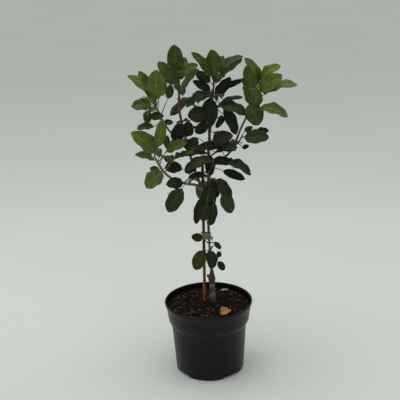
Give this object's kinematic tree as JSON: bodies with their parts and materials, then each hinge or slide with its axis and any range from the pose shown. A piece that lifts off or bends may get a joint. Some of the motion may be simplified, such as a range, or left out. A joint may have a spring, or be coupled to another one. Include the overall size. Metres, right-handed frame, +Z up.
{
  "type": "potted apple tree",
  "caption": "Young grafted apple tree in a round nursery pot, tied to a cane, with leafy shoots over a bare stem.",
  "frame": {"origin": "centre of the pot's flat underside, on the surface it stands on", "axes": "+Z up along the pot's axis and the stem, -Y towards the side with the fallen leaf near the rim, +X to that side's right"},
  "size_m": [0.326, 0.191, 0.712],
  "materials": {
    "pot_plastic": "satin black moulded plastic",
    "potting_mix": "moist peat and fine bark, matte",
    "bark_chip": "rough bark, matte",
    "cane": "split bamboo, satin",
    "bark": "young bark, matte",
    "tie_band": "soft tie band, matte",
    "leaf_young": "fresh olive-green apple leaf, satin",
    "leaf_bright": "bright green apple leaf, satin",
    "leaf_inner": "dark shaded apple leaf, satin",
    "leaf_low": "mature blue-green apple leaf, satin",
    "dry_leaf": "dry curled leaf, matte"
  },
  "bodies": {
    "root": {"back_shoot_left_high": "leaf_inner", "back_shoot_left_low": "leaf_inner", "back_shoot_low": "leaf_low", "back_shoot_middle": "leaf_inner", "back_shoot_right_high": "leaf_inner", "back_shoot_right_low": "leaf_inner", "bark_chip_1": "bark_chip", "bark_chip_2": "bark_chip", "bark_chip_3": "bark_chip", "bark_chip_4": "bark_chip", "bark_chip_5": "bark_chip", "bark_chip_6": "bark_chip", "bark_chip_7": "bark_chip", "bark_chip_8": "bark_chip", "cane": "cane", "dry_leaf_back": "dry_leaf", "dry_leaf_front": "dry_leaf", "pot": "pot_plastic", "shoot_left_droop": "leaf_low", "shoot_left_fan": "leaf_young", "shoot_left_leader": "leaf_young", "shoot_left_low": "leaf_bright", "shoot_right_leader": "leaf_young", "shoot_right_side": "leaf_inner", "shoot_top": "leaf_young", "soil": "potting_mix", "spur_droop": "leaf_low", "spur_front_high": "leaf_inner", "spur_front_low": "leaf_low", "spur_front_middle": "leaf_inner", "spur_right_high": "leaf_inner", "stem_leaf_left": "leaf_low", "stem_leaf_right": "leaf_low", "stem_shoot_front": "leaf_low", "stem_shoot_right": "leaf_low", "tie": "tie_band", "trunk": "bark"}
  },
  "joints": []
}
